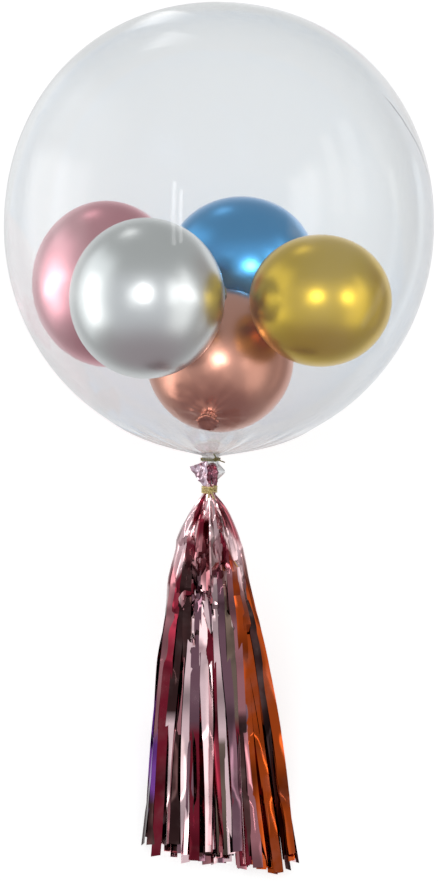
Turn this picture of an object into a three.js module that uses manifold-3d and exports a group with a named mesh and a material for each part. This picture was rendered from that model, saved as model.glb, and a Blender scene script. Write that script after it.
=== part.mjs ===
// A clear bubble balloon with a foil tassel, lying on a flat surface. Millimetres, +Z up.
// The balloon is drawn hanging, neck down, in a group of its own, and that group is laid on its side.
// The origin is the middle of the small flat spot that the balloon rests on, and the tassel points to -Y.

import * as THREE from "three";
import { mergeVertices } from "three/addons/utils/BufferGeometryUtils.js";
import Module from "manifold-3d";

const wasm = await Module();
wasm.setup();

const { cos, sin, sqrt, exp, max, abs, PI } = Math;
const degree = PI / 180;

// The film balloon: one sealed film, drawn as a solid because nothing gets in
const bubbleRadius = 180;
const crownHeight = 185.4; // from the widest ring up to the crown
const bottomDepth = 187.9; // from the widest ring down to where the round form would close
const crownFullness = 2.1; // the upper half bulges a little past an ellipse, which is 2
const gatherRise = 12; // the film starts to gather this far above the bottom
const foldCount = 10;
const filmSides = 5 * foldCount;
const foldDepth = 0.09; // depth of the gathered folds, as a share of the radius there
const flatSpotRadius = 32;

// The neck under the film balloon, and its tail
const neckRadius = 6.5;
const neckDrop = 4; // from the bottom of the round form to the top of the straight neck
const neckLength = 4.6;
const tailLength = 28;
const tailRadius = 3.8;
const tailFlatness = 0.65;
const tailSwing = 10; // how far the tail stands off the axis, beside the head of the tassel

// The thread that seals the neck
const threadDiameter = 1.2;
const threadTurns = 2;
const threadEndLength = 15;

// The wire round the waist of the tassel
const wireDiameter = 1.4;
const wireTurns = 4;
const wireEndLength = 12;
const waistDrop = 23; // from the top of the neck thread down to the top of this wire

// The foil tassel
const waistRadius = 5.2; // the gathered foil inside the wire
const headHeight = 19.7;
const lobeRadius = 6.8;
const skirtLength = 316;
const skirtFlare = 23.5; // how much the skirt widens just under the waist, to each side
const skirtPuff = 15.5; // how much it swells upwards and downwards there
const flareReach = 24; // the length over which it does so
const fanSlope = 0.124; // from there the fan widens by this much for each millimetre
const pileSlope = 0.041; // and the pile gets thinner by this much
const sheetLength = 92; // the uncut sheet, from the waist down
const pleatCount = 18;
const pleatDepth = 0.1;
const stripWidth = 7.5;
const stripThickness = 1.5;
const stripsInRow = 13;
const stripOverlap = 16; // a strip starts this far inside the uncut sheet
const raggedness = 9; // how much the strips differ in length

// How it lies
const neckDip = 17 * degree; // the neck points down by this much from level
const neckLean = 2.1 * degree; // and a little to -X
const droop = 62; // the tassel leaves its wire straight for about this far
const settle = 150; // and lies flat on the surface for about this far at its end
const fanDrift = 7; // its end has swung this far to +X

const gap = 0.3; // clearance between pieces that touch

// Places down the axis, as depths below the widest ring
const neckTop = bottomDepth + neckDrop;
const neckBottom = neckTop + neckLength;
const threadDepth = neckTop + neckLength / 2;
const threadPitch = threadDiameter + 0.1;
const threadTop = threadDepth - (threadTurns * threadPitch) / 2;
const wirePitch = wireDiameter + 0.1;
const wireTop = threadTop + waistDrop;
const wireBottom = wireTop + wireTurns * wirePitch + wireDiameter;
const tailEnd = neckBottom + tailLength;

const film = new THREE.MeshStandardMaterial({
  color: 0xe9eef0,
  roughness: 0.05,
  metalness: 0,
  transparent: true,
  opacity: 0.18,
});
const foil = new THREE.MeshStandardMaterial({ color: 0xb0707c, roughness: 0.18, metalness: 1 });
const gold = new THREE.MeshStandardMaterial({ color: 0xc9a84a, roughness: 0.35, metalness: 1 });

function smooth(from, to, value) {
  return THREE.MathUtils.smoothstep(value, from, to);
}

// A repeatable uneven number from -1 to 1 for each copy
function uneven(index, kind) {
  return sin(index * 12.9898 + kind * 78.233) * cos(index * 4.1414 + kind);
}

function solid(geometry) {
  const bare = geometry.clone();
  bare.deleteAttribute("normal");
  bare.deleteAttribute("uv");
  const merged = mergeVertices(bare, 1e-3);
  return new wasm.Manifold(
    new wasm.Mesh({
      numProp: 3,
      vertProperties: merged.attributes.position.array,
      triVerts: new Uint32Array(merged.index.array),
    }),
  );
}

function surface(made) {
  const { vertProperties, triVerts } = made.getMesh();
  const geometry = new THREE.BufferGeometry();
  geometry.setAttribute("position", new THREE.BufferAttribute(vertProperties, 3));
  geometry.setIndex(new THREE.BufferAttribute(triVerts, 1));
  geometry.computeVertexNormals();
  return geometry;
}

function joined(geometries) {
  return geometries.map(solid).reduce((all, next) => all.add(next));
}

// Closes the small sealed hollows that pieces leave between them where they cross
function filled(made) {
  return made
    .decompose()
    .filter((body) => body.volume() > 0)
    .reduce((all, next) => all.add(next));
}

// Moves every vertex of a geometry to where the given function puts it
function shaped(geometry, place) {
  const position = geometry.attributes.position;
  const vertex = new THREE.Vector3();
  for (let i = 0; i < position.count; i++) {
    vertex.fromBufferAttribute(position, i);
    const moved = place(vertex, i);
    position.setXYZ(i, moved.x, moved.y, moved.z);
  }
  return geometry;
}

// A round wire along a curve
function wire(curve, diameter, steps) {
  const section = new THREE.Shape();
  section.absarc(0, 0, diameter / 2, 0, 2 * PI, false);
  return new THREE.ExtrudeGeometry(section, {
    steps,
    curveSegments: 3, // six sides
    bevelEnabled: false,
    extrudePath: curve,
  });
}

class Winding extends THREE.Curve {
  constructor(radius, pitch, turns, top) {
    super();
    Object.assign(this, { radius, pitch, turns, top });
  }
  getPoint(share, target = new THREE.Vector3()) {
    const angle = share * this.turns * 2 * PI - PI / 3;
    const depth = this.top + share * this.turns * this.pitch;
    return target.set(this.radius * cos(angle), this.radius * sin(angle), -depth);
  }
}

// The film balloon, as an outline of radius and height that starts at the crown
function bubbleOutline() {
  const points = [];
  const crownSteps = 12;
  for (let i = 0; i < crownSteps; i++) {
    const angle = (i / crownSteps) * (PI / 2);
    const power = 2 / crownFullness;
    points.push(new THREE.Vector2(bubbleRadius * sin(angle) ** power, crownHeight * cos(angle) ** power));
  }
  const gatherTop = bottomDepth - gatherRise;
  const bottomSteps = 10;
  const lastAngle = Math.asin(gatherTop / bottomDepth);
  for (let i = 0; i < bottomSteps; i++) {
    const angle = (i / bottomSteps) * lastAngle;
    points.push(new THREE.Vector2(bubbleRadius * cos(angle), -bottomDepth * sin(angle)));
  }
  const gatherRadius = bubbleRadius * cos(lastAngle);
  const along = new THREE.Vector2(-bubbleRadius * sin(lastAngle), -bottomDepth * cos(lastAngle)).normalize();
  const start = new THREE.Vector2(gatherRadius, -gatherTop);
  const gather = new THREE.CubicBezierCurve(
    start,
    start.clone().addScaledVector(along, 0.57 * gatherRadius),
    new THREE.Vector2(neckRadius, -(neckTop + bottomDepth) / 2),
    new THREE.Vector2(neckRadius, -neckTop),
  );
  return points.concat(gather.getPoints(6));
}

// The tail under the neck, made wider all round by the given clearance
function tailOutline(clearance) {
  const flare = new THREE.SplineCurve([
    new THREE.Vector2(neckRadius + clearance, -neckBottom),
    new THREE.Vector2(neckRadius + clearance, -(neckBottom + 0.18 * tailLength)),
    new THREE.Vector2(tailRadius + clearance, -(neckBottom + 0.55 * tailLength)),
    new THREE.Vector2(0.8 * tailRadius + clearance, -(tailEnd + clearance)),
  ]);
  return flare.getPoints(8);
}

// Turns an outline of radius and height, from the top down, into a closed form about the Z axis
function turned(outline, sides) {
  return new THREE.LatheGeometry([...outline].reverse(), sides).rotateX(PI / 2);
}

// Gathers the film into folds towards the neck, and swings the tail to its place beside the tassel's head
function gathered(vertex) {
  const depth = -vertex.z;
  const angle = Math.atan2(vertex.y, vertex.x);
  const gathering = smooth(bottomDepth - 2 * gatherRise, neckTop, depth);
  const fold = 1 + gathering * foldDepth * cos(foldCount * angle);
  const onTail = smooth(neckBottom, neckBottom + 0.3 * tailLength, depth);
  const inWire = smooth(neckBottom + 0.25 * tailLength, wireTop - 3, depth);
  const offInWire = waistRadius - tailFlatness * tailRadius * (1 + foldDepth);
  const off = onTail * THREE.MathUtils.lerp(tailSwing, offInWire, inWire);
  const flat = THREE.MathUtils.lerp(1, tailFlatness, onTail);
  const side = new THREE.Vector3(1, 1, 0).normalize();
  const across = new THREE.Vector3(-1, 1, 0).normalize();
  return new THREE.Vector3(0, 0, vertex.z)
    .addScaledVector(side, off + flat * fold * vertex.dot(side))
    .addScaledVector(across, (fold / sqrt(flat)) * vertex.dot(across));
}

function bubbleGeometry() {
  const outline = bubbleOutline().concat(tailOutline(0), new THREE.Vector2(0, -tailEnd));
  return shaped(turned(outline, filmSides), gathered);
}

function tailSpace() {
  const outline = [new THREE.Vector2(0, -neckBottom), ...tailOutline(gap)];
  outline.push(new THREE.Vector2(0, -(tailEnd + gap)));
  return shaped(turned(outline, filmSides), gathered);
}

function knot(radius, place) {
  return new THREE.IcosahedronGeometry(radius, 1).translate(place.x, place.y, place.z);
}

function neckTieGeometry() {
  const radius = neckRadius * (1 + foldDepth) + gap + threadDiameter / 2;
  const winding = new Winding(radius, threadPitch, threadTurns, threadTop);
  const knotRadius = 1.35 * threadDiameter;
  const outward = (radius + knotRadius - threadDiameter / 2) / radius;
  const place = winding.getPoint(0.5).multiply(new THREE.Vector3(outward, outward, 1));
  const up = new THREE.CatmullRomCurve3([
    place.clone(),
    place.clone().add(new THREE.Vector3(1, -0.55 * threadEndLength, 0.1 * threadEndLength)),
    place.clone().add(new THREE.Vector3(-2, -0.95 * threadEndLength, 0.3 * threadEndLength)),
  ]);
  const aside = new THREE.CatmullRomCurve3([
    place.clone(),
    place.clone().add(new THREE.Vector3(3, -3, -0.5)),
    place.clone().add(new THREE.Vector3(0.5 * threadEndLength, -5, -2)),
  ]);
  return joined([
    wire(winding, threadDiameter, 12 * threadTurns),
    knot(knotRadius, place),
    wire(up, threadDiameter, 6),
    wire(aside, threadDiameter, 4),
  ]);
}

function tasselTieGeometry() {
  const radius = waistRadius + gap + wireDiameter / 2;
  const start = wireTop + wireDiameter / 2;
  const winding = new Winding(radius, wirePitch, wireTurns, start);
  const knotRadius = 1.4 * wireDiameter;
  const knotReach = radius + knotRadius - wireDiameter / 2;
  const place = new THREE.Vector3(0.15 * radius, -knotReach, -(wireTop + wireBottom) / 2);
  const ends = [-1, 1].map(
    (side) =>
      new THREE.CatmullRomCurve3([
        place.clone(),
        place.clone().add(new THREE.Vector3(side * 1.5, -2, -0.45 * wireEndLength)),
        place.clone().add(new THREE.Vector3(side * 3 + 1, -3, -wireEndLength)),
      ]),
  );
  return joined([
    wire(winding, wireDiameter, 12 * wireTurns),
    knot(knotRadius, place),
    ...ends.map((end) => wire(end, 0.8 * wireDiameter, 5)),
  ]);
}

// The balloon's group, laid over so that the flat spot's middle is the origin
const balloon = new THREE.Group();
balloon.rotation.set(neckDip - PI / 2, neckLean, 0);
balloon.updateMatrixWorld(true);
const neckwards = new THREE.Vector3(0, 0, -1).transformDirection(balloon.matrixWorld);
const down = new THREE.Vector3(0, 0, -1);
const dipShare = neckwards.dot(down);
const reachDown = sqrt(bubbleRadius ** 2 * (1 - dipShare ** 2) + (bottomDepth * dipShare) ** 2);
const restShare = sqrt(1 - (flatSpotRadius / bubbleRadius) ** 2);
const lowest = down
  .clone()
  .multiplyScalar(bubbleRadius ** 2)
  .addScaledVector(neckwards, dipShare * (bottomDepth ** 2 - bubbleRadius ** 2))
  .divideScalar(reachDown);
balloon.position.copy(lowest).multiplyScalar(-restShare);
balloon.updateMatrixWorld(true);

// The tassel's spine runs from its waist down to the surface
const waist = new THREE.Vector3(0, 0, -wireBottom).applyMatrix4(balloon.matrixWorld);
const pileEndHeight = waistRadius + skirtPuff - pileSlope * skirtLength;
const fall = waist.z - pileEndHeight;
const fanEnd = new THREE.Vector3(
  waist.x + fanDrift,
  waist.y - sqrt(max(skirtLength ** 2 * 0.97 - fall ** 2, 1)),
  pileEndHeight,
);
const spine = new THREE.CubicBezierCurve3(
  waist,
  waist.clone().addScaledVector(neckwards, droop),
  fanEnd.clone().add(new THREE.Vector3(-fanDrift / 2, settle, 0)),
  fanEnd,
);
const spineLength = spine.getLength();

function flared(start, growth, slope, along) {
  const below = max(along, 0);
  return start + growth * (1 - exp(-below / flareReach)) + slope * below;
}

function halfWidth(along) {
  return flared(waistRadius, skirtFlare, fanSlope, along);
}

function halfHeight(along) {
  return flared(waistRadius, skirtPuff, -pileSlope, along);
}

// A place in the tassel: its length below the waist, then sideways and upwards in millimetres from the spine
function inTassel(along, sideways, upwards) {
  const share = THREE.MathUtils.clamp(along / spineLength, 0, 1);
  const heading = spine.getTangentAt(share);
  const right = new THREE.Vector3(1, 0, 0).addScaledVector(heading, -heading.x).normalize();
  const up = new THREE.Vector3().crossVectors(right, heading);
  const beyond = along - share * spineLength;
  const place = spine
    .getPointAt(share)
    .addScaledVector(heading, beyond)
    .addScaledVector(right, sideways)
    .addScaledVector(up, upwards);
  place.z = max(place.z, 0);
  return place;
}

// The uncut, pleated sheet that hangs from the waist
function sheetGeometry() {
  const sides = 2 * pleatCount;
  const insideWire = wireBottom - wireTop + 1;
  const stations = [-insideWire, 0, 3, 8, 15, 25, 38, 60, sheetLength];
  const outline = stations.map((along) => new THREE.Vector2(1, along));
  outline.unshift(new THREE.Vector2(0, stations[0]));
  outline.push(new THREE.Vector2(0, sheetLength));
  return shaped(new THREE.LatheGeometry(outline, sides), (vertex) => {
    const angle = Math.atan2(vertex.x, vertex.z);
    const pleat = Math.round((angle / (2 * PI)) * sides);
    const ridge = abs(pleat % 2) === 1 ? 1 : -1;
    const depth = pleatDepth * smooth(0, 15, vertex.y) * (1 + 0.5 * uneven(abs(pleat) % sides, 3));
    const swell = 1 + (ridge - 1) * depth;
    return inTassel(
      vertex.y,
      vertex.x * swell * halfWidth(vertex.y),
      vertex.z * swell * halfHeight(vertex.y),
    );
  });
}

// One cut strip of a row, across the pile from side -1 to 1, and at a height of -1, 0 or 1 in it
function stripGeometry(index, side, row) {
  const length = skirtLength - raggedness * (1 - 0.8 * side) + raggedness * uneven(index, 1);
  const start = sheetLength - stripOverlap;
  const box = new THREE.BoxGeometry(1, stripThickness, length - start, 1, 1, 5);
  return shaped(box, (vertex) => {
    const along = (start + length) / 2 + vertex.z;
    const wide = halfWidth(along) - stripThickness;
    const high = row * (halfHeight(along) - stripThickness);
    const width = Math.min(stripWidth, (1.9 * wide) / stripsInRow);
    const loose = smooth(sheetLength, skirtLength, along);
    const rise = sqrt(1 - side ** 2);
    const twist = 0.4 * loose * uneven(index, 2) - Math.atan2(side * high, rise * wide);
    const sway = 2.5 * loose * sin(along / 55 + 2 * index);
    return inTassel(
      along,
      wide * side - vertex.x * width * cos(twist) - vertex.y * sin(twist) + sway,
      high * rise - vertex.x * width * sin(twist) + vertex.y * cos(twist),
    );
  });
}

// One folded lobe of the tassel's head, as a drop that stands in the wire and leans aside
function lobeGeometry(lean, place, radius, height) {
  const outline = [
    [0, 1],
    [0.7, 0.95],
    [1, 0.78],
    [0.9, 0.55],
    [0.5, 0.3],
    [0.45, 0.06],
    [0, 0],
  ].map(([share, rise]) => new THREE.Vector2(share * radius, rise * height));
  const drop = turned(outline, 12);
  return shaped(drop, (vertex) => {
    const rise = vertex.z / height;
    const crease = 1 + 0.16 * rise * cos(3 * Math.atan2(vertex.y, vertex.x) + 5 * rise);
    return new THREE.Vector3(
      place.x + vertex.x * crease + lean * rise * rise,
      place.y + 0.72 * vertex.y * crease,
      place.z + vertex.z,
    );
  });
}

function tasselGeometry() {
  const strips = [];
  for (const row of [-1, 0, 1]) {
    const count = row === 0 ? stripsInRow - 6 : stripsInRow;
    for (let i = 0; i < count; i++) {
      const side = (2 * i + 1) / stripsInRow - count / stripsInRow;
      strips.push(stripGeometry(strips.length, side, row));
    }
  }
  const foot = -(wireTop + 1);
  const left = lobeGeometry(-9, new THREE.Vector3(-2, -1.2, foot), 0.85 * lobeRadius, headHeight - 1);
  const right = lobeGeometry(0.5, new THREE.Vector3(1.2, -1.8, foot), lobeRadius, headHeight);
  const head = [left, right].map((lobe) => lobe.applyMatrix4(balloon.matrixWorld));
  const tail = solid(tailSpace().applyMatrix4(balloon.matrixWorld));
  return filled(joined([sheetGeometry(), ...strips, ...head]).subtract(tail));
}

function mesh(name, geometry, material) {
  const made = new THREE.Mesh(geometry, material);
  made.name = name;
  return made;
}

// What lies below the resting surface is cut off the film balloon, which leaves the flat spot
const under = new THREE.BoxGeometry(4 * bubbleRadius, 4 * bubbleRadius, bubbleRadius)
  .translate(0, 0, -bubbleRadius / 2)
  .applyMatrix4(balloon.matrixWorld.clone().invert());
const rested = solid(bubbleGeometry()).subtract(solid(under));

const object = new THREE.Group();
balloon.add(mesh("bubble", surface(rested), film));
balloon.add(mesh("neck_tie", surface(neckTieGeometry()), gold));
balloon.add(mesh("tassel_tie", surface(tasselTieGeometry()), gold));
object.add(balloon);
object.add(mesh("foil_tassel", surface(tasselGeometry()), foil));

export default object;
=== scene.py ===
import bisect
import math
import random

import bpy
from mathutils import Matrix, Vector, noise


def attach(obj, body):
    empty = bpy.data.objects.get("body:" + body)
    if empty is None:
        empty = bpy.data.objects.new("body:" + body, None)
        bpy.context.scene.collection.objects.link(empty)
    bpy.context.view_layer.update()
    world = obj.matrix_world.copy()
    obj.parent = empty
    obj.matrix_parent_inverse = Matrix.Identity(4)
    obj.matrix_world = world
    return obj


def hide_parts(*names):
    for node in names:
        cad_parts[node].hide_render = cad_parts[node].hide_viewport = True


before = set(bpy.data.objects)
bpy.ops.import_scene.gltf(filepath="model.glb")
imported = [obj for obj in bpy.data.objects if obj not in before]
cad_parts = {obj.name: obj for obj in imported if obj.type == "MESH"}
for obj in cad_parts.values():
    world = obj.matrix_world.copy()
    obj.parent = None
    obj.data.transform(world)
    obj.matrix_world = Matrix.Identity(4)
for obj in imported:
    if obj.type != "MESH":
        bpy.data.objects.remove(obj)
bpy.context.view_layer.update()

# Sizes of the balloon, in metres, as the part has them
MM = 0.001
bubble_radius = 180 * MM
crown_height = 185.4 * MM
bottom_depth = 187.9 * MM
crown_fullness = 2.1
gather_rise = 12 * MM
flat_spot_radius = 32 * MM
neck_radius = 6.5 * MM
neck_drop = 4 * MM
neck_length = 4.6 * MM
tail_length = 28 * MM
tail_radius = 3.8 * MM
tail_flatness = 0.65
tail_swing = 10 * MM
thread_diameter = 1.2 * MM
thread_turns = 2
thread_end_length = 15 * MM
wire_diameter = 1.4 * MM
wire_turns = 4
wire_end_length = 12 * MM
waist_drop = 23 * MM
waist_radius = 5.2 * MM
head_height = 19.7 * MM
skirt_length = 316 * MM
skirt_flare = 23.5 * MM
skirt_puff = 15.5 * MM
flare_reach = 24 * MM
fan_slope = 0.124
pile_slope = 0.041
sheet_length = 92 * MM
strip_width = 7.5 * MM
strip_surplus = 6 * MM
raggedness = 9 * MM
neck_dip = math.radians(17)
neck_lean = math.radians(2.1)
droop = 62 * MM
settle = 150 * MM
fan_drift = 7 * MM
film_thickness = 0.25 * MM
foil_thickness = 0.12 * MM
gap = 0.3 * MM
floor_drop = 0.5 * MM

# How finely the pieces are made
FILM_SIDES = 160
CROWN_STEPS = 44
BOTTOM_STEPS = 40
CURVE_STEPS = 20
SMALL_BALLOON_SIDES = 80
STEPS_PER_TURN = 40
STEPS_PER_LAY = 8
KNOT_STEPS = 60
THREAD_END_STEPS = 14
SPINE_STEPS = 400
STRIP_COLUMNS = 3
STRIP_ROWS = 64

# Places down the axis, as depths below the widest ring of the film
neck_top = bottom_depth + neck_drop
neck_bottom = neck_top + neck_length
thread_depth = neck_top + neck_length / 2
thread_pitch = thread_diameter + 0.1 * MM
thread_top = thread_depth - thread_turns * thread_pitch / 2
wire_pitch = wire_diameter + 0.1 * MM
wire_top = thread_top + waist_drop
wire_bottom = wire_top + wire_turns * wire_pitch + wire_diameter
tail_end = neck_bottom + tail_length

SEED = 11
random_draws = random.Random(SEED)
noise.seed_set(SEED)  # or else noise_vector changes from run to run


def smooth(start, end, value):
    share = min(max((value - start) / (end - start), 0), 1)
    return share * share * (3 - 2 * share)


def mixed(first, second, share):
    return first + (second - first) * share


# How the balloon lies: the hanging form is turned and set down on its flat spot
def laid_over():
    turn = Matrix.Rotation(neck_dip - math.pi / 2, 4, "X") @ Matrix.Rotation(neck_lean, 4, "Y")
    neckwards = turn @ Vector((0, 0, -1))
    dip = -neckwards.z
    reach = math.sqrt(bubble_radius**2 * (1 - dip**2) + (bottom_depth * dip) ** 2)
    rest = math.sqrt(1 - (flat_spot_radius / bubble_radius) ** 2)
    lowest = Vector((0, 0, -1)) * bubble_radius**2
    lowest += neckwards * dip * (bottom_depth**2 - bubble_radius**2)
    return Matrix.Translation(-rest * lowest / reach) @ turn, neckwards


laid, neckwards = laid_over()

# The frame of someone who looks down on the balloon: right, upwards in the picture and towards the eye
camera_elevation = math.pi / 2 - neck_dip
RIGHT = Vector((1, 0, 0))
UPWARDS = Vector((0, math.sin(camera_elevation), math.cos(camera_elevation)))
TOWARDS = Vector((0, -math.cos(camera_elevation), math.sin(camera_elevation)))
viewed = Matrix.Translation(laid.translation) @ Matrix((RIGHT, UPWARDS, TOWARDS)).transposed().to_4x4()


def deselect():
    bpy.ops.object.select_all(action="DESELECT")


def pick(piece):
    deselect()
    piece.select_set(True)
    bpy.context.view_layer.objects.active = piece


def apply_modifier(piece, kind, **settings):
    """Adds a modifier to a piece and makes what it does part of the mesh."""
    pick(piece)
    modifier = piece.modifiers.new(kind.title(), kind)
    for setting, value in settings.items():
        setattr(modifier, setting, value)
    bpy.ops.object.modifier_apply(modifier=modifier.name)


def set_down(piece, matrix=laid):
    """Moves a piece's mesh to its place, so that its object sits at the origin."""
    pick(piece)
    piece.matrix_world = matrix
    bpy.ops.object.transform_apply(location=True, rotation=True, scale=True)


def shape(piece, place):
    """Moves each corner of a piece to where the function says that it goes."""
    for vertex in piece.data.vertices:
        vertex.co = place(vertex.co.copy())
    piece.data.update()


def turned(name, outline, sides):
    """A closed round skin whose outline, of radius and height, runs from its top to its bottom."""
    deselect()
    rings = len(outline) - 1
    bpy.ops.mesh.primitive_uv_sphere_add(segments=sides, ring_count=rings, radius=1)
    piece = bpy.context.object
    piece.name = name
    piece.data.name = name
    for vertex in piece.data.vertices:
        ring = round(math.acos(min(max(vertex.co.z, -1), 1)) / math.pi * rings)
        angle = math.atan2(vertex.co.y, vertex.co.x)
        radius, height = outline[ring]
        vertex.co = (radius * math.cos(angle), radius * math.sin(angle), height)
    bpy.ops.object.shade_smooth()
    return piece


def copied(piece, name):
    """A copy of a piece with its own mesh."""
    pick(piece)
    bpy.ops.object.duplicate()
    copy = bpy.context.object
    copy.name = name
    copy.data.name = name
    return copy


def removed(piece):
    pick(piece)
    bpy.ops.object.delete()


def joined(name, pieces):
    deselect()
    for piece in pieces:
        piece.select_set(True)
    bpy.context.view_layer.objects.active = pieces[0]
    bpy.ops.object.join()
    whole = bpy.context.object
    whole.name = name
    whole.data.name = name
    return whole


def bezier(points, share):
    """A place on a Bezier curve with any number of control points."""
    while len(points) > 1:
        points = [mixed(a, b, share) for a, b in zip(points, points[1:])]
    return points[0]


def curved_path(points, steps):
    return [bezier(points, i / steps) for i in range(steps + 1)]


def creased(piece, sharpest):
    """Shades a piece smooth, but for the edges that bend by more degrees than that."""
    pick(piece)
    bpy.ops.object.shade_smooth_by_angle(angle=math.radians(sharpest))


# Materials and the light of the room, as nodes
class Value:
    """A number or colour on its way through the nodes."""

    def __init__(self, nodes, socket):
        self.nodes = nodes
        self.socket = socket

    def __add__(self, other):
        return self.nodes.math("ADD", self, other)

    def __radd__(self, other):
        return self.nodes.math("ADD", other, self)

    def __mul__(self, other):
        return self.nodes.math("MULTIPLY", self, other)

    def __rmul__(self, other):
        return self.nodes.math("MULTIPLY", other, self)


class Nodes:
    """A node tree, with one method that makes any node."""

    def __init__(self, tree):
        self.tree = tree

    def node(self, kind, settings, inputs, output=0):
        made = self.tree.nodes.new(kind)
        for setting, value in settings.items():
            setattr(made, setting, value)
        for socket, value in inputs.items():
            if isinstance(value, Value):
                self.tree.links.new(value.socket, made.inputs[socket])
            else:
                made.inputs[socket].default_value = value
        return Value(self, made.outputs[output])

    def mix(self, share, first, second):
        return self.node("ShaderNodeMix", {"data_type": "RGBA"}, {0: share, 6: first, 7: second}, 2)

    def along(self, vector, axis):
        settings = {"operation": "DOT_PRODUCT"}
        return self.node("ShaderNodeVectorMath", settings, {0: vector, 1: axis}, "Value")

    def math(self, operation, *values):
        return self.node("ShaderNodeMath", {"operation": operation}, dict(enumerate(values)))

    def step(self, value, start, end):
        """Rises smoothly from 0 to 1 while the value goes from start to end."""
        settings = {"interpolation_type": "SMOOTHSTEP"}
        return self.node("ShaderNodeMapRange", settings, {0: value, 1: start, 2: end, 3: 0.0, 4: 1.0})

    def band(self, value, start, full, fading, end):
        """Rises from 0 to 1 between start and full, and goes back to 0 between fading and end."""
        return self.step(value, start, full) * self.step(value, end, fading)


class Finish(Nodes):
    """A material under way. What is the same all over is set on the shader."""

    def __init__(self, name, **plain):
        self.material = bpy.data.materials.new(name)
        self.material.use_nodes = True
        super().__init__(self.material.node_tree)
        self.shader = self.tree.nodes["Principled BSDF"]
        for socket, value in plain.items():
            self.shader.inputs[socket.replace("_", " ")].default_value = value

    def place(self, centre=(0, 0, 0)):
        spot = self.node("ShaderNodeTexCoord", {}, {}, "Object")
        shift = tuple(-c for c in centre)
        return self.node("ShaderNodeMapping", {}, {"Vector": spot, "Location": shift})

    def attribute(self, name, output="Fac"):
        return self.node("ShaderNodeAttribute", {"attribute_name": name}, {}, output)

    def noise(self, where, scale, detail=2.0):
        inputs = {"Vector": where, "Scale": scale, "Detail": detail}
        return self.node("ShaderNodeTexNoise", {}, inputs, "Fac")

    def bump(self, height, strength, distance):
        inputs = {"Height": height, "Strength": strength, "Distance": distance}
        return self.node("ShaderNodeBump", {}, inputs)

    def feed(self, **fed):
        for socket, value in fed.items():
            self.tree.links.new(value.socket, self.shader.inputs[socket.replace("_", " ")])
        return self.material


film_colour = (0.877, 0.889, 0.892, 1)
# Colour of a painted dark reflection line on the film
dark_reflection_colour = (0.4, 0.4, 0.43, 1)
# Colour of a painted pink reflection near the film's rim
pink_reflection_colour = (0.74, 0.56, 0.58, 1)
worn_foil = (0.75, 0.62, 0.6, 1)
bright_gold = (0.95, 0.8, 0.42, 1)
dull_gold = (0.5, 0.42, 0.15, 1)
darker_thread_colour = (0.13, 0.14, 0.06, 1)


def clear_film():
    """Clear film with smears, ripples near its rim, pleats at its neck, a painted dark reflection line and a
    painted pink reflection.
    """
    film = Finish("clear_film", Transmission_Weight=1.0, IOR=1.42)
    spot = film.place(laid.translation)
    right, up, front = (film.along(spot, axis) for axis in (RIGHT, UPWARDS, TOWARDS))
    distance = film.math("SQRT", right * right + up * up)
    bearing = film.math("ARCTAN2", up, right)
    smears = film.noise(film.place(), 26.0, 3.0)

    # A painted dark reflection line and a painted pink reflection near the rim, only on the half towards the
    # eye
    near_side = film.step(front, 0.0, 0.01)
    fold = distance + 0.03 * bearing + 0.004 * smears
    painted_dark_line = film.band(fold, 0.1832, 0.1837, 0.1843, 0.1849) * film.band(bearing, 0.04, 0.15, 0.56, 0.66)
    edge = distance + 0.004 * smears
    painted_pink_line = film.band(edge, 0.1768, 0.1774, 0.1788, 0.1796) * film.band(bearing, 0.7, 0.9, 1.05, 1.2)
    colour = film.mix(painted_dark_line * near_side * film.step(smears, 0.24, 0.38), film_colour, dark_reflection_colour)
    colour = film.mix(painted_pink_line * near_side * film.step(smears, 0.35, 0.5), colour, pink_reflection_colour)

    across_neck = (laid.to_3x3() @ Vector(axis) for axis in ((1, 0, 0), (0, 1, 0)))
    sideways, forwards = (film.along(spot, axis) for axis in across_neck)
    off_axis = film.math("SQRT", sideways * sideways + forwards * forwards)
    round_neck = film.node("ShaderNodeCombineXYZ", {}, {0: 5.0 * film.math("ARCTAN2", forwards, sideways)})
    low = film.step(up, -0.13, -0.17)
    pleats = film.noise(round_neck, 1.0, 3.0) * film.step(off_axis, 0.05, 0.008) * low
    near_neck = film.step(off_axis, 0.03, 0.012) * low

    waves = film.noise(film.place(), 7.0, 1.0)
    rings = film.node("ShaderNodeCombineXYZ", {}, {0: 2.5 * bearing, 1: 130.0 * distance, 2: 9.0 * front})
    ripples = film.noise(rings, 1.0) * film.step(distance, 0.12, 0.175)
    bumps = film.bump(waves + 0.35 * ripples + 1.6 * pleats, 0.25, 3 * MM)
    haze = 0.03 + 0.05 * film.step(smears, 0.45, 0.75) + 0.3 * near_neck
    return film.feed(Base_Color=colour, Roughness=haze, Normal=bumps)


def chrome_latex(name, colour, deep, centre):
    """Chrome-finish latex, deeper in colour towards the neck. The bluer it is, the glossier its coat."""
    gloss = 0.12 + 0.5 * max(colour[2] - colour[0], 0)
    latex = Finish(name, Metallic=1.0, Coat_Weight=gloss, Coat_Roughness=0.2, Coat_IOR=1.4)
    towards_neck = latex.attribute("towards_neck")
    clouds = latex.noise(latex.place(centre), 22.0, 3.0)
    grain = latex.noise(latex.place(centre), 900.0)
    shade = latex.mix(0.25 * clouds + towards_neck, (*colour, 1), (*deep, 1))
    bumps = latex.bump(grain, 0.08, 0.2 * MM)
    return latex.feed(Base_Color=shade, Roughness=0.27 + 0.08 * clouds, Normal=bumps)


def rose_foil():
    foil = Finish("rose_foil", Metallic=1.0)
    waves = foil.noise(foil.attribute("down_strip", "Vector"), 1.0, 1.0)
    worn = foil.step(foil.noise(foil.place(), 55.0, 3.0), 0.45, 0.8)
    # The tint attribute holds painted reflections and painted shade; the worn patches are the foil's own wear
    shade = foil.mix(0.05 * worn, foil.attribute("tint", "Color"), worn_foil)
    bumps = foil.bump(waves, 0.3, 1.2 * MM)
    return foil.feed(Base_Color=shade, Roughness=0.09 + 0.12 * worn, Normal=bumps)


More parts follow.
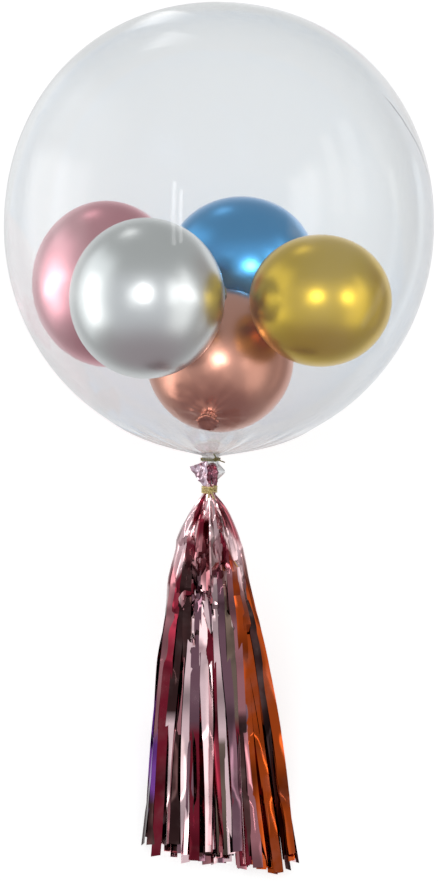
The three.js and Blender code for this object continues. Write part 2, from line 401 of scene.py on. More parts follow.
def gold_thread():
    thread = Finish("gold_thread", Metallic=1.0)
    strands = thread.noise(thread.place(), 1500.0)
    worn = thread.noise(thread.place(), 300.0)
    shade = thread.mix(worn, bright_gold, dull_gold)
    # The neck's thread is made darker than the tassel's wire
    shade = thread.mix(0.75 * thread.attribute("on_neck_thread"), shade, darker_thread_colour)
    bumps = thread.bump(strands, 0.5, 0.2 * MM)
    return thread.feed(Base_Color=shade, Roughness=0.28 + 0.2 * worn, Normal=bumps)


# The film balloon, a thin closed skin with its gathered neck and tail
def film_outline():
    """The outline of the hanging film, of radius and height, from its crown to the end of its tail."""
    power = 2 / crown_fullness
    points = []
    for i in range(CROWN_STEPS):
        angle = i / CROWN_STEPS * math.pi / 2
        points.append((bubble_radius * math.sin(angle) ** power, crown_height * math.cos(angle) ** power))
    gather_top = bottom_depth - gather_rise
    last = math.asin(gather_top / bottom_depth)
    for i in range(BOTTOM_STEPS):
        angle = i / BOTTOM_STEPS * last
        points.append((bubble_radius * math.cos(angle), -bottom_depth * math.sin(angle)))
    start = Vector((bubble_radius * math.cos(last), -gather_top))
    along = Vector((-bubble_radius * math.sin(last), -bottom_depth * math.cos(last))).normalized()
    gather = [
        start,
        start + along * 0.57 * start.x,
        Vector((neck_radius, -(neck_top + bottom_depth) / 2)),
        Vector((neck_radius, -neck_top)),
    ]
    tail = [
        Vector((neck_radius, -neck_bottom)),
        Vector((neck_radius, -neck_bottom - 0.25 * tail_length)),
        Vector((0.8 * tail_radius, -neck_bottom - 0.5 * tail_length)),
        Vector((0.8 * tail_radius, -tail_end)),
    ]
    points += curved_path(gather, CURVE_STEPS) + curved_path(tail, CURVE_STEPS)
    return points + [(0, -tail_end)]


def gathered(spot):
    """Draws the film into folds towards the neck, and swings the tail aside as the part does."""
    depth = -spot.z
    angle = math.atan2(spot.y, spot.x)
    gathering = smooth(bottom_depth - 2.2 * gather_rise, neck_top, depth)
    folds = 0.06 * math.cos(10 * angle) + 0.05 * math.cos(17 * angle + 1) + 0.035 * math.cos(27 * angle)
    fold = 1 + gathering * folds
    on_tail = smooth(neck_bottom, neck_bottom + 0.3 * tail_length, depth)
    in_wire = smooth(neck_bottom + 0.25 * tail_length, wire_top - 3 * MM, depth)
    off_in_wire = waist_radius - tail_flatness * tail_radius * 1.1
    off = on_tail * mixed(tail_swing, off_in_wire, in_wire)
    flat = mixed(1, tail_flatness, on_tail)
    side = Vector((1, 1, 0)).normalized()
    across = Vector((-1, 1, 0)).normalized()
    crumple = on_tail * (1 - in_wire) * noise.noise(spot * 300) * 1.2 * MM
    moved = Vector((0, 0, spot.z))
    moved += side * (off + crumple + flat * fold * spot.dot(side))
    return moved + across * (fold / math.sqrt(flat) * spot.dot(across))


def resting(spot):
    """Flattens the film where it rests."""
    spot.z = max(spot.z, 0.05 * MM)
    return spot


def make_film():
    film = turned("clear_bubble", film_outline(), FILM_SIDES)
    shape(film, gathered)
    set_down(film)
    shape(film, resting)
    apply_modifier(film, "SOLIDIFY", thickness=film_thickness, offset=-1)
    film.data.materials.append(clear_film())
    # Film as thin as this casts no shadow, and the balloons inside don't mirror it
    film.visible_shadow = False
    film.visible_glossy = False
    film.visible_diffuse = False
    return film


# The small chrome-finish balloons inside, in millimetres in the viewer's frame
class SmallBalloon:
    def __init__(self, place, half_sizes, neckwards, colour, deep):
        self.place = Vector(place)
        self.half_sizes = Vector(half_sizes)
        self.neckwards = Vector(neckwards).normalized()
        self.colour = colour
        self.deep = deep

    def reach(self, direction):
        """How far its skin is from its middle, in a direction."""
        return 1 / math.sqrt(sum((d / h) ** 2 for d, h in zip(direction, self.half_sizes)))


small_balloons = {
    "pink": SmallBalloon(
        place=(-96.8, -43.2, -38.9),
        half_sizes=(64.2, 71.1, 60),
        neckwards=(0.45, -0.6, -0.66),
        colour=(0.84, 0.37, 0.43),
        deep=(0.5, 0.13, 0.17),
    ),
    "silver": SmallBalloon(
        place=(-58.2, -64.5, 76.7),
        half_sizes=(61.7, 64.3, 60),
        neckwards=(0.75, 0.1, -0.65),
        colour=(0.82, 0.84, 0.83),
        deep=(0.5, 0.52, 0.52),
    ),
    "blue": SmallBalloon(
        place=(20.1, -18.3, -110.6),
        half_sizes=(66.2, 59, 60),
        neckwards=(0.1, -0.95, -0.3),
        colour=(0.08, 0.41, 0.8),
        deep=(0.04, 0.2, 0.6),
    ),
    "gold": SmallBalloon(
        place=(82.8, -64.7, 52.7),
        half_sizes=(57.6, 53.6, 55),
        neckwards=(-0.55, 0.35, -0.75),
        colour=(0.78, 0.53, 0.04),
        deep=(0.45, 0.29, 0.02),
    ),
    "rose": SmallBalloon(
        place=(0.8, -109.4, -20.6),
        half_sizes=(62.7, 60.6, 58),
        neckwards=(-0.13, -0.72, 0.68),
        colour=(0.74, 0.36, 0.26),
        deep=(0.5, 0.18, 0.12),
    ),
}
balloon_clearance = 0.5  # between two that press against each other
film_clearance = 2.0  # between one of them and the film


def small_balloon_outline():
    """The outline of a latex balloon with its tied neck and rolled lip, crown up, of radius 1."""
    neck = 0.07
    shoulder = math.radians(152)
    taper_steps = 10
    knot_steps = 9
    points = []
    for i in range(CROWN_STEPS):
        angle = i / CROWN_STEPS * shoulder
        points.append((math.sin(angle), math.cos(angle) * (1 + 0.04 * smooth(1.4, 2.6, angle))))
    taper = [Vector(points[-1]), Vector((0.28, -1.01)), Vector((neck, -1.02)), Vector((neck, -1.1))]
    points += curved_path(taper, taper_steps)[1:]
    for i in range(1, knot_steps):
        angle = i / knot_steps * math.pi
        points.append((neck + 0.05 * math.sin(angle), -1.1 - 0.035 * (1 - math.cos(angle))))
    lip = [(0.1, -1.21), (0.16, -1.25), (0.12, -1.27), (0.05, -1.23), (0, -1.22)]
    return points + lip


def pressed(balloon, spot):
    """Flattens a balloon where it meets its neighbours and the film."""
    for other in small_balloons.values():
        if other is balloon:
            continue
        line = other.place - balloon.place
        distance = line.length
        line.normalize()
        own, theirs = balloon.reach(line), other.reach(line)
        if own + theirs + balloon_clearance > distance:
            most = distance * own / (own + theirs) - balloon_clearance / 2
            beyond = (spot - balloon.place).dot(line) - most
            if beyond > 0:
                spot = spot - line * beyond
    room = bubble_radius / MM - film_clearance
    tall = crown_height / MM - film_clearance
    reach = math.sqrt((spot.x / room) ** 2 + (spot.y / tall) ** 2 + (spot.z / room) ** 2)
    return spot / max(reach, 1)


def make_small_balloon(name, pattern):
    balloon = small_balloons[name]
    skin = copied(pattern, "small_balloon_" + name)
    near_neck = skin.data.attributes.new("towards_neck", "FLOAT", "POINT")
    for vertex, level in zip(skin.data.vertices, near_neck.data):
        level.value = 0.85 * smooth(-0.75, -1.1, vertex.co.z)
    turn = balloon.neckwards.to_track_quat("-Z", "Y").to_matrix()

    def place(spot):
        angle = math.atan2(spot.y, spot.x)
        crease = 1 + 0.04 * smooth(-0.88, -1.02, spot.z) * math.cos(11 * angle + 2 * math.sin(3 * angle))
        crease += 0.05 * smooth(-1.16, -1.25, spot.z) * math.cos(5 * angle + 2 * math.sin(2 * angle))
        crinkle = 0.03 * smooth(-0.72, -0.95, spot.z) * abs(noise.noise(spot * 7 + balloon.place))
        spot = turn @ (Vector((spot.x * crease, spot.y * crease, spot.z)) * (1 - crinkle))
        spot = balloon.place + Vector(s * h for s, h in zip(spot, balloon.half_sizes))
        return pressed(balloon, spot) * MM

    shape(skin, place)
    set_down(skin, viewed)
    centre = tuple(viewed @ (balloon.place * MM))
    skin.data.materials.append(chrome_latex("latex_" + name, balloon.colour, balloon.deep, centre))
    return skin


# Threads and wires
def wound_path(radius, pitch, turns, top):
    """The middle line of a thread that is wound round the axis, from the top down."""
    steps = STEPS_PER_TURN * turns
    path = []
    for i in range(steps + 1):
        angle = i / steps * turns * 2 * math.pi - math.pi / 3
        depth = top + i / steps * turns * pitch
        path.append(Vector((radius * math.cos(angle), radius * math.sin(angle), -depth)))
    return path


def twisted(name, path, thickness, lay):
    """Two strands twisted about a path, as gold thread and wire are. The lay is the length of one turn."""
    strands = []
    length = sum((b - a).length for a, b in zip(path, path[1:]))
    steps = int(length / lay * STEPS_PER_LAY)
    for start in (0, math.pi):
        curve = bpy.data.curves.new(name, "CURVE")
        curve.dimensions = "3D"
        curve.bevel_depth = 0.29 * thickness
        curve.bevel_resolution = 1
        curve.use_fill_caps = True
        spline = curve.splines.new("POLY")
        spline.points.add(steps)
        for i, point in enumerate(spline.points):
            where = i / steps * (len(path) - 1)
            index = min(int(where), len(path) - 2)
            spot = path[index].lerp(path[index + 1], where - index)
            heading = (path[index + 1] - path[index]).normalized()
            outward = heading.orthogonal().normalized()
            angle = start + i / steps * length / lay * 2 * math.pi
            spot = spot + Matrix.Rotation(angle, 3, heading) @ outward * 0.24 * thickness
            point.co = (*spot, 1)
        strand = bpy.data.objects.new(name, curve)
        bpy.context.collection.objects.link(strand)
        pick(strand)
        bpy.ops.object.convert(target="MESH")
        strands.append(bpy.context.object)
    return strands


def knot_path(centre, size):
    """A small tangle of thread, the overhand knot of a tie."""
    path = []
    for i in range(KNOT_STEPS + 1):
        angle = i / KNOT_STEPS * 2 * math.pi
        reach = size * (1 + 0.45 * math.cos(3 * angle))
        loops = (reach * math.cos(2 * angle), 0.7 * size * math.sin(3 * angle), reach * math.sin(2 * angle))
        path.append(centre + Vector(loops))
    return path


def make_neck_tie():
    knot_size = 1 * MM
    radius = neck_radius * 1.09 + gap + thread_diameter / 2
    turns = wound_path(radius, thread_pitch, thread_turns, thread_top)
    middle = turns[len(turns) // 2]
    outward = (radius + knot_size) / radius
    place = Vector((middle.x * outward, middle.y * outward, middle.z))
    up = [
        place,
        place + Vector((1 * MM, -0.55 * thread_end_length, 0.1 * thread_end_length)),
        place + Vector((-2 * MM, -0.95 * thread_end_length, 0.3 * thread_end_length)),
    ]
    aside = [place, place + Vector((3, -3, -0.5)) * MM, place + Vector((7.5, -5, -2)) * MM]
    ends = [curved_path(end, THREAD_END_STEPS) for end in (up, aside)]
    strands = []
    for path in (turns, knot_path(place, knot_size), *ends):
        strands += twisted("neck_thread", path, thread_diameter, 2 * thread_diameter)
    tie = joined("neck_thread", strands)
    for level in tie.data.attributes.new("on_neck_thread", "FLOAT", "POINT").data:
        level.value = 1
    set_down(tie)
    tie.data.materials.append(gold_thread())
    return tie


def make_tassel_tie():
    lay = 3.2 * MM
    knot_size = 1.5 * MM
    radius = waist_radius + gap + wire_diameter / 2
    turns = wound_path(radius, wire_pitch, wire_turns, wire_top + wire_diameter / 2)
    reach = radius + 1.4 * wire_diameter - wire_diameter / 2
    place = Vector((0.15 * radius, -reach, -(wire_top + wire_bottom) / 2))
    strands = twisted("tassel_wire", turns, wire_diameter, lay)
    strands += twisted("tassel_wire", knot_path(place, knot_size), wire_diameter, lay)
    for side in (-1, 1):
        end = [
            place,
            place + Vector((side * 1.5 * MM, -2 * MM, -0.3 * wire_end_length)),
            place + Vector(((side * 2 + 1) * MM, -3 * MM, -0.6 * wire_end_length)),
        ]
        path = curved_path(end, THREAD_END_STEPS)
        strands += twisted("tassel_wire", path, 0.8 * wire_diameter, 3 * MM)
    tie = joined("tassel_wire", strands)
    set_down(tie)
    return tie


# The foil tassel, whose spine runs from the waist down to the end of the fan that it lies in
waist = laid @ Vector((0, 0, -wire_bottom))
pile_end_height = waist_radius + skirt_puff - pile_slope * skirt_length
fall = waist.z - pile_end_height
fan_reach = math.sqrt(skirt_length**2 * 0.97 - fall**2)
fan_end = Vector((waist.x + fan_drift, waist.y - fan_reach, pile_end_height))
settling = fan_end + Vector((-fan_drift / 2, settle, 0))
spine_places = curved_path([waist, waist + neckwards * droop, settling, fan_end], SPINE_STEPS)
spine_lengths = [0.0]
for above, below in zip(spine_places, spine_places[1:]):
    spine_lengths.append(spine_lengths[-1] + (below - above).length)


def on_spine(along):
    """The place at a length down the spine, and the spine's heading there."""
    nearest = min(max(bisect.bisect(spine_lengths, along) - 1, 0), SPINE_STEPS - 1)
    heading = (spine_places[nearest + 1] - spine_places[nearest]).normalized()
    return spine_places[nearest] + heading * (along - spine_lengths[nearest]), heading


def half_width(along):
    below = max(along, 0)
    return waist_radius + skirt_flare * (1 - math.exp(-below / flare_reach)) + fan_slope * below


def half_height(along):
    below = max(along, 0)
    return waist_radius + skirt_puff * (1 - math.exp(-below / flare_reach)) - pile_slope * below


def in_tassel(along, sideways, upwards):
    """A place in the tassel: its length below the waist, then sideways and upwards from the spine."""
    spot, heading = on_spine(along)
    right = (RIGHT - heading * heading.x).normalized()
    up = right.cross(heading)
    spot = spot + right * sideways + up * upwards
    spot.z = max(spot.z, 0.3 * MM)
    return spot


# The layers of foil: how far out each lies, as a share of the tassel's half width and half height,
# and how many strips it is cut into
foil_tiers = [(0.95, 34), (0.78, 30), (0.6, 24), (0.38, 16)]
tint_changes = (0.6, 0.8)  # where strips change colour, as shares of the tassel's length
crease_places = (0.3, 0.46, 0.66, 0.84)  # folds from its packing, as shares of the tassel's length

# Tints of the foil: pale is near the foil's own rose colour, the others are painted reflections and painted
# shade
pale = Vector((0.98, 0.7, 0.72))
rose = Vector((0.42, 0.17, 0.19))
mauve = Vector((0.2, 0.1, 0.13))
wine = Vector((0.2, 0.015, 0.03))
brown = Vector((0.05, 0.022, 0.022))
taupe = Vector((0.2, 0.14, 0.11))
copper_reflection = Vector((0.42, 0.064, 0.01))
violet = Vector((0.24, 0.07, 0.38))
lilac = Vector((0.85, 0.68, 0.78))
usual_tints = [pale, wine, mauve, pale, brown, rose, pale, mauve, brown, taupe, wine]


def around(angle):
    """A place round the tassel, as shares of its half width and half height, evenly spread."""
    turn = (angle / (2 * math.pi)) % 1
    saw = 1 - 4 * turn if turn < 0.5 else 4 * turn - 3
    side = 0.25 * math.cos(angle) + 0.75 * saw
    rise = math.sqrt(max(1 - side * side, 0))
    return side, rise if turn < 0.5 else -rise


def strip_tints(side, number):
    """Three colours for a strip, from the sheet to its end, as painted reflections and painted shade: copper
    at the right, violet at the far left.
    """
    upper = usual_tints[7 * number % len(usual_tints)]
    lower = usual_tints[(7 * number + 3) % len(usual_tints)]
    if side > 0.55 + 0.2 * random_draws.random() and number % 4:
        return copper_reflection, copper_reflection, copper_reflection
    if side < -0.78:
        return upper, violet, brown
    return (upper, upper, upper) if random_draws.random() < 0.6 else (upper, lower, lower)


def crumple(side, along, outward):
    """How far the flat facets of crumpled foil stand out, from about -1 to 1, and how light they are painted,
    as painted reflections and painted shade.
    """
    where = Vector((side * 3.3, along / (27 * MM), 1.2 * outward))
    distances, centres = noise.voronoi(where)
    share = 0.5 - 0.5 * smooth(0, 0.16, distances[1] - distances[0])
    heights = [3.2 * noise.noise_vector(7.3 * centre).dot(where - centre) for centre in centres[:2]]
    lights = [0.5 + 1.2 * noise.noise(5.1 * centre) for centre in centres[:2]]
    return mixed(*heights, share), mixed(*lights, share)


class Strip:
    """One strip of foil: part of the pleated sheet above, and loose below its cut."""

    def __init__(self, number, outward, count, index):
        draw = random_draws.uniform
        self.number = number
        self.outward = outward
        self.span = 2 * math.pi / count
        self.angle = self.span * (index + 0.5)
        self.side, self.rise = around(self.angle)
        self.hand = 1 if index % 2 else -1
        self.length = skirt_length + strip_surplus - raggedness * (1 - 0.8 * self.side)
        self.length += raggedness * draw(-1, 1)
        self.length -= raggedness * smooth(-0.5, -1, self.side)
        self.cut = sheet_length * draw(0.45, 1.0)
        self.width = strip_width * draw(1.0, 1.18)
        self.rolls = [self.hand * draw(-0.1, 0.5) for _ in range(len(crease_places) + 1)]
        self.lifts = [draw(-1.6, 1.6) * MM for _ in range(len(crease_places) + 1)]
        self.creases = [skirt_length * (place + 0.02 * draw(-1, 1)) for place in crease_places]
        self.twist = draw(-0.8, 0.8)
        self.bow = draw(-0.7, 0.7) * MM
        self.sway = draw(0.5, 2.2) * MM
        self.phase = draw(0, 2 * math.pi)
        self.skew = draw(-2, 2) * MM
        self.curl = draw(-3, 4) * MM
        self.tints = strip_tints(self.side, number)
        self.changes = [skirt_length * (share + 0.06 * draw(-1, 1)) for share in tint_changes]
        self.drift = (draw(-4, 4) + 4 * self.side**3) * MM

    def between_creases(self, levels, along, sharpness):
        """A level that changes at each crease, from one of those given to the next."""
        level = levels[0]
        for crease, following in zip(self.creases, levels[1:]):
            level = mixed(level, following, smooth(crease - sharpness, crease + sharpness, along))
        return level

    def in_sheet(self, along, across, wide, high):
        """The place in the pleated, crumpled sheet, and how steep the pleat is."""
        side, rise = around(self.angle + across * self.span)
        edge = Vector((side * wide, rise * high))
        normal = Vector((side / wide, rise / high)).normalized()
        spacing = self.span * math.sqrt((wide * wide + high * high) / 2)
        slack = math.sqrt(max(self.width**2 - spacing**2, 0))
        pleat = 0.35 * min(slack, 0.4 * high) * smooth(-1 * MM, 10 * MM, along)
        pleat *= mixed(1, 0.3, smooth(15 * MM, 45 * MM, along))
        opened = smooth(-1 * MM, 26 * MM, along)
        depth = 8 * MM * opened * (1 - 0.85 * side * side)
        facets = depth * (crumple(side, along, self.outward)[0] - 0.1 - 0.3 * side * side)
        where = Vector((edge.x, edge.y, along)) / (38 * MM) + Vector((7, 0, 50 * self.outward))
        billow = 3 * MM * noise.noise(where) * smooth(5 * MM, 40 * MM, along)
        offset = self.hand * across * pleat - 0.5 * pleat + facets + billow
        return edge + normal * offset, math.atan2(self.hand * pleat, spacing)

    def place(self, along, across):
        """How far sideways and upwards from the spine the strip is, at a length below the waist."""
        wide = self.outward * half_width(along)
        high = self.outward * half_height(along)
        free = smooth(self.cut, self.cut + 75 * MM, along)
        sheet, steep = self.in_sheet(along, across, wide, high)
        if free == 0:
            return sheet
        ahead = around(self.angle + 0.1 * self.span)
        behind = around(self.angle - 0.1 * self.span)
        tangent = Vector(((ahead[0] - behind[0]) * wide, (ahead[1] - behind[1]) * high)).normalized()
        roll = self.between_creases(self.rolls, along, 2.5 * MM)
        roll += self.twist * smooth(self.cut, self.length, along)
        roll = mixed(steep, roll, free)
        over = Matrix.Rotation(-roll, 2) @ tangent
        wave = self.sway * math.sin(along / (52 * MM) + self.phase)
        wave += self.drift * smooth(self.cut, 0.8 * self.length, along)
        lift = self.between_creases(self.lifts, along, 16 * MM)
        lift += self.curl * smooth(self.length - 30 * MM, self.length, along)
        centre = Vector((self.side * wide + wave, self.rise * high + lift))
        hollow = Vector((over.y, -over.x)) * self.bow * (4 * across * across - 1)
        loose = centre + over * across * self.width + hollow
        return sheet.lerp(loose, free)

    def make(self, flat_strip):
        """Shapes a copy of the flat strip, and gives it its tints, which carry painted reflections and
        painted shade, and its place for the foil's waves.
        """
        strip = copied(flat_strip, "foil_strip")
        top = wire_top - wire_bottom - 1 * MM
        tints = strip.data.attributes.new("tint", "FLOAT_COLOR", "POINT")
        downs = strip.data.attributes.new("down_strip", "FLOAT_VECTOR", "POINT")
        for vertex, tint, down in zip(strip.data.vertices, tints.data, downs.data):
            across = vertex.co.x
            share = 0.5 - vertex.co.y
            along = top + share * (0.55 + 0.45 * share) * (self.length - top)
            spot = self.place(along, across)
            along += self.skew * across * smooth(0.9 * self.length, self.length, along)
            vertex.co = in_tassel(along, spot.x, spot.y)
            side = around(self.angle + across * self.span)[0]
            light = crumple(side, along, self.outward)[1]
            # The sheet's facets are painted from dark wine to pale, as painted reflections and painted shade
            painted_sheet_colour = wine.lerp(0.15 * rose + 0.85 * pale, smooth(0.3, 0.85, light))
            strip_colour_and_reflection = self.tints[0]
            for change, following in zip(self.changes, self.tints[1:]):
                strip_colour_and_reflection = strip_colour_and_reflection.lerp(following, smooth(change, change + 10 * MM, along))
            colour = painted_sheet_colour.lerp(strip_colour_and_reflection, smooth(self.cut - 16 * MM, self.cut + 24 * MM, along))
            # Painted shade and painted reflection that change along each strip
            shade = 0.95 + 1.0 * noise.noise(Vector((3.1 * self.number, along / (38 * MM), 0)))
            tint.color = (*(min(shade, 1) * colour), 1)
            down.vector = (across * 0.5 + self.number * 3.7, along / (30 * MM), self.number * 1.3)
        return strip


def make_tassel():
    deselect()
    bpy.ops.mesh.primitive_grid_add(x_subdivisions=STRIP_COLUMNS, y_subdivisions=STRIP_ROWS, size=1)
    flat_strip = bpy.context.object
    strips = []
    for outward, count in foil_tiers:
        for index in range(count):
            strips.append(Strip(len(strips), outward, count, index).make(flat_strip))
    removed(flat_strip)
    tassel = joined("foil_strips", strips)
    pick(tassel)
    bpy.ops.object.mode_set(mode="EDIT")
    bpy.ops.mesh.select_all(action="SELECT")
    bpy.ops.mesh.remove_doubles(threshold=0.02 * MM)
    bpy.ops.object.mode_set(mode="OBJECT")
    apply_modifier(tassel, "SOLIDIFY", thickness=foil_thickness, offset=0)
    creased(tassel, 26)
    return tassel


# The head of the tassel, above the wire
def foil_sheet(name, columns, rows, place, tint):
    """A crumpled piece of foil, whose shape is given by shares across and along it."""
    deselect()
    bpy.ops.mesh.primitive_grid_add(x_subdivisions=columns, y_subdivisions=rows, size=1)
    sheet = bpy.context.object
    sheet.name = name
    tints = sheet.data.attributes.new("tint", "FLOAT_COLOR", "POINT")
    downs = sheet.data.attributes.new("down_strip", "FLOAT_VECTOR", "POINT")
    for vertex, colour, down in zip(sheet.data.vertices, tints.data, downs.data):
        spot = place(vertex.co.x + 0.5, vertex.co.y + 0.5)
        down.vector = spot * 60
        # Random patches painted towards dark wine, as painted shade
        colour.color = (*tint.lerp(wine, max(0.3 + 0.8 * noise.noise(spot * 400), 0)), 1)
        vertex.co = spot + Vector(noise.noise_vector(spot * 380)) * 0.9 * MM
    apply_modifier(sheet, "SOLIDIFY", thickness=foil_thickness, offset=0)
    return sheet


def rolled_loop(across, along):
    """The foil above the wire, twisted into a roll that folds over into a loop."""
    roll_radius = 3.3 * MM
    turn = along * math.pi
    roll = roll_radius * (1 + 0.22 * math.cos(3 * (2 * math.pi * across) + 9 * along))
    angle = 2 * math.pi * across + 3 * along
    middle = Vector((1.5 * MM - 2.2 * MM * math.cos(turn), -1.8 * MM, 0))
    rise = (head_height - 3.2 * MM) * math.sin(turn) ** 0.6
    outward = Vector((-math.cos(turn), 0, 0.9 * math.sin(turn)))
    section = outward * math.cos(angle) * roll + Vector((0, math.sin(angle) * roll * 0.9, 0))
    squeeze = mixed(0.62, 1, smooth(0, 0.5, math.sin(turn)))
    return middle + Vector((0, 0, rise - wire_top - 1 * MM)) + section * squeeze


def open_funnel(across, along):
    """The end of the foil, which flares open to the left of the loop."""
    throat = 1.8 * MM
    mouth = 7 * MM
    angle = 2 * math.pi * across * 0.86 + 0.7
    wide = mixed(throat, mouth, along**0.7) * (1 + 0.16 * math.cos(5 * angle + 2) * along)
    middle = Vector((-2.2 * MM - 7.6 * MM * along**0.8, -2.5 * MM, along * (head_height - 1.0 * MM)))
    middle.z -= wire_top + 1 * MM
    across_axis = Vector((0.92, 0, 0.38))
    return middle + across_axis * math.cos(angle) * wide + Vector((0, 0.7 * math.sin(angle) * wide, 0))


def make_head():
    # The loop is painted dark mauve and the funnel pale lilac, as painted shade and painted reflection on the
    # one rose foil
    loop = foil_sheet("foil_loop", 22, 54, rolled_loop, mauve)
    funnel = foil_sheet("foil_funnel", 30, 22, open_funnel, lilac)
    head = joined("foil_head", [loop, funnel])
    creased(head, 30)
    set_down(head)
    return head


# The stage
photo_scale = 0.841 * MM  # one pixel of the photograph, at the balloon's middle
photo_height = 881
film_middle_row = 228.5  # how many pixels down the film's middle is
camera_distance = 1.6
LONG_SENSOR_SIDE = 36


def make_camera():
    film_above_middle = (photo_height / 2 - film_middle_row) * photo_scale
    target = laid.translation - UPWARDS * film_above_middle
    data = bpy.data.cameras.new("camera")
    data.sensor_width = LONG_SENSOR_SIDE
    data.lens = LONG_SENSOR_SIDE * camera_distance / (photo_height * photo_scale)
    camera = bpy.data.objects.new("camera", data)
    bpy.context.collection.objects.link(camera)
    camera.location = target + TOWARDS * camera_distance
    camera.rotation_euler = TOWARDS.to_track_quat("Z", "Y").to_euler()
    bpy.context.scene.camera = camera


def make_floor():
    deselect()
    place = (0, 0, -floor_drop)
    bpy.ops.mesh.primitive_grid_add(x_subdivisions=8, y_subdivisions=8, size=30, location=place)
    floor = bpy.context.object
    floor.name = "pale_floor"
    paint = Finish("pale_floor", Roughness=0.9, Emission_Strength=0.68, Emission_Color=(1, 1, 1, 1))
    clouds = paint.noise(paint.place(), 3.0)
    shade = paint.mix(clouds, (0.94, 0.94, 0.94, 1), (0.96, 0.96, 0.96, 1))
    floor.data.materials.append(paint.feed(Base_Color=shade))
    floor.visible_glossy = False


# Lamps, with places in metres to the right, upwards and towards the eye from the film's middle
def soft_light(name, place, size, radiance, lit=(), target=(0, 0, 0)):
    """An oval soft box that lights everything, unseen in mirrors, or lights and shows in the pieces given."""
    data = bpy.data.lights.new(name, "AREA")
    data.shape = "ELLIPSE"
    data.size, data.size_y = size
    data.energy = radiance * math.pi * math.pi / 4 * size[0] * size[1]
    light = bpy.data.objects.new(name, data)
    bpy.context.collection.objects.link(light)
    light.location = viewed @ Vector(place)
    light.rotation_euler = (light.location - viewed @ Vector(target)).to_track_quat("Z", "Y").to_euler()
    light.visible_glossy = bool(lit)
    if lit:
        group = bpy.data.collections.new(name)
        for piece in lit:
            group.objects.link(piece)
        light.light_linking.receiver_collection = group
        light.light_linking.blocker_collection = group


# Tall lamps that the foil mirrors: bearing from the eye, to the right, in degrees, then width,
# height and radiance
foil_lamps = [
    (-72, 0.5, 0.9, 2.5),
    (-32, 0.16, 0.8, 5),
    (0, 0.7, 0.9, 0.75),
    (26, 0.1, 0.8, 5.5),
    (62, 0.3, 0.9, 2.2),
]
foil_lamp_distance = 1.3
foil_lamp_slope = math.radians(33)
tassel_middle = Vector((-0.01, -0.39, -0.1))


def light_foil(foil_pieces):
    level = math.cos(foil_lamp_slope)
    for number, (bearing, wide, tall, radiance) in enumerate(foil_lamps):
        turn = math.radians(bearing)
        away = Vector((math.sin(turn) * level, math.sin(foil_lamp_slope), math.cos(turn) * level))
        place = tassel_middle + foil_lamp_distance * away
        soft_light(f"foil_lamp_{number}", place, (wide, tall), radiance, foil_pieces, tassel_middle)


def light_chrome(chrome_pieces):
    """Lamps that the small balloons mirror, placed so that their glints are where the photograph has them."""
    pink, silver, blue, gold, rosy = chrome_pieces
    middles = {name: balloon.place * MM for name, balloon in small_balloons.items()}
    soft_light("lamp_by_the_eye", (-0.075, 0, 1.13), (0.25, 0.25), 11, [pink, silver, gold])
    soft_light("lamp_for_pink", (-1.28, 0, 0.15), (0.26, 1.2), 3.4, [pink], middles["pink"])
    soft_light("lamp_for_silver", (1.03, 0.02, 0.58), (0.16, 0.8), 2.4, [silver], middles["silver"])
    soft_light("lamp_for_gold", (0.822, -0.02, 1), (0.2, 0.26), 9, [gold], middles["gold"])
    soft_light("lamp_for_blue", (0.3, -0.26, 1.1), (0.28, 0.28), 26, [blue])
    soft_light("lamp_for_rose", (-0.01, -0.05, 1.13), (0.36, 0.36), 11, [rosy])
    soft_light("side_lamp_for_rose", (-1, -0.75, -0.1), (0.5, 0.5), 1.5, [rosy])


# What the room looks like in a mirror: areas by bearing from the eye, to the right, in degrees,
# and by height, from -1 below to 1 above, then how soft their edges are and their colour
room_areas = [
    ((-60, 46), (-1.2, 0.45), 14, (0.66, 0.67, 0.7)),
    ((-118, -56), (-0.5, 0.7), 9, (1.1, 1.13, 1.15)),
    ((-97, -72), (-0.42, 0.36), 6, (2.6, 2.6, 2.6)),
    ((42, 78), (-0.7, 0.35), 9, (1.2, 1.2, 1.2)),
    ((37, 44), (-0.14, 0.28), 4, (3.2, 3.2, 3.2)),
    ((60, 68), (0.05, 0.55), 2, (1.8, 1.8, 1.8)),
    ((92, 130), (-0.6, 0.6), 7, (0.38, 0.35, 0.34)),
    ((102, 108), (-0.5, 0.3), 2.5, (1, 1, 1)),
    ((-150, -118), (0.9, 0.96), 3, (2.2, 2.2, 2.2)),
    ((134, 181), (-0.5, 0.5), 7, (1.0, 1.01, 1.03)),
    ((-20.2, -18.6), (-0.2, 0.2), 0.5, (6, 6, 6)),
]
room_colour = (0.46, 0.47, 0.47, 1)
behind_colour = (0.85, 0.86, 0.87, 1)
low_colour = (0.36, 0.31, 0.33, 1)
plain_light = (0.36, 0.36, 0.36, 1)  # the room's light on dull surfaces
backdrop_colour = (1, 1, 1, 1)


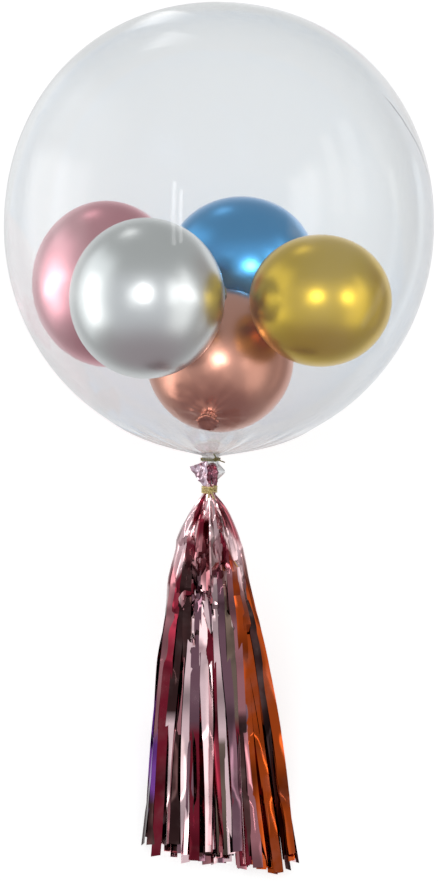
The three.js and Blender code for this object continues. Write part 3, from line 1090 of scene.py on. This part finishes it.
def make_room_light():
    world = bpy.data.worlds.new("pale_room")
    bpy.context.scene.world = world
    world.use_nodes = True
    room = Nodes(world.node_tree)
    direction = room.node("ShaderNodeTexCoord", {}, {}, "Generated")
    height = room.along(direction, UPWARDS)
    towards = room.along(direction, TOWARDS)
    bearing = room.math("ARCTAN2", room.along(direction, RIGHT), towards)

    colour = room.mix(room.step(towards, -0.5, -0.95), room_colour, behind_colour)
    for bearings, (low, high), softness, tint in room_areas:
        first, last = (math.radians(edge) for edge in bearings)
        soft = math.radians(softness)
        inside = room.band(bearing, first - soft, first + soft, last - soft, last + soft)
        soft = 0.012 * softness
        inside *= room.band(height, low - soft, low + soft, high - soft, high + soft)
        colour = room.mix(inside, colour, (*tint, 1))
    lowest = room.step(height, -0.45, -0.95) * room.step(towards, -0.75, -0.3)
    colour = room.mix(lowest, colour, low_colour)

    mirrored = room.node("ShaderNodeLightPath", {}, {}, "Is Glossy Ray")
    seen = room.node("ShaderNodeLightPath", {}, {}, "Is Camera Ray")
    colour = room.mix(mirrored, room.mix(seen, plain_light, backdrop_colour), colour)
    background = world.node_tree.nodes["Background"]
    world.node_tree.links.new(colour.socket, background.inputs["Color"])


def make_stage(chrome_pieces, foil_pieces):
    make_camera()
    make_floor()
    make_room_light()
    light_chrome(chrome_pieces)
    light_foil(foil_pieces)
    soft_light("large_left", (-1.2, 0.6, 1.4), (1.4, 1.4), 0.45)
    soft_light("large_right", (1.2, 0.2, 1.6), (1.2, 1.2), 0.45)
    bpy.context.scene.view_settings.view_transform = "Standard"


# The pieces, with the body that carries each, the solid that it takes the place of and its material
film = make_film()
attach(film, "root")
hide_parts("bubble")
chrome_pieces = []
round_latex = turned("round_latex", small_balloon_outline(), SMALL_BALLOON_SIDES)
for name in small_balloons:
    small_balloon = make_small_balloon(name, round_latex)
    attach(small_balloon, "root")
    chrome_pieces.append(small_balloon)
removed(round_latex)
neck_tie = make_neck_tie()
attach(neck_tie, "root")
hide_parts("neck_tie")
tassel_tie = make_tassel_tie()
tassel_tie.data.materials.append(neck_tie.data.materials[0])
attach(tassel_tie, "root")
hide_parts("tassel_tie")
foil = rose_foil()
foil_pieces = [make_tassel(), make_head()]
for piece in foil_pieces:
    piece.data.materials.append(foil)
    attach(piece, "root")
    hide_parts("foil_tassel")
make_stage(chrome_pieces, foil_pieces)
